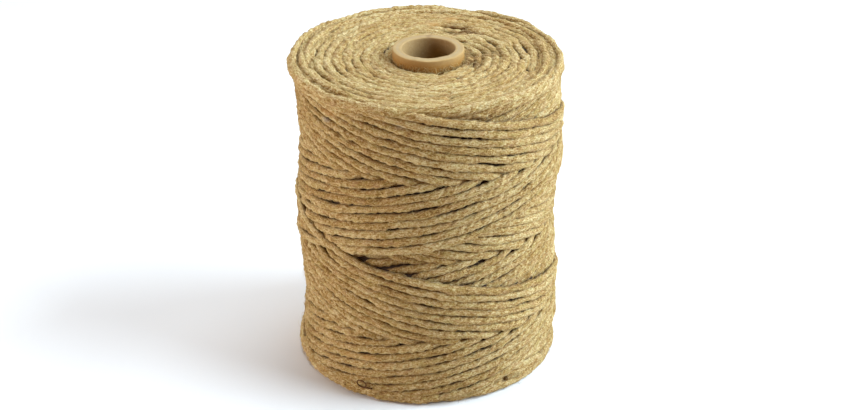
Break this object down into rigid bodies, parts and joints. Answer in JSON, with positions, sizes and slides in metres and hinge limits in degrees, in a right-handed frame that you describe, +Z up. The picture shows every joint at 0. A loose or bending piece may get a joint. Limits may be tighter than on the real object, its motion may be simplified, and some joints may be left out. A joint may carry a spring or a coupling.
{
  "type": "spool of jute twine",
  "caption": "Jute twine wound criss-cross on a cardboard core tube; stands on its flat end, or turns on a spindle through the core.",
  "frame": {"origin": "centre of the base, on the axis of the core", "axes": "+Z up along the core; -Y is the front, towards the camera; +X is to the right"},
  "size_m": [0.1282, 0.1266, 0.155],
  "materials": {
    "cardboard": "matt wound board",
    "jute": "matt, hairy plied jute"
  },
  "bodies": {
    "root": {"core_tube": "cardboard", "wound_twine": "jute"}
  },
  "joints": []
}
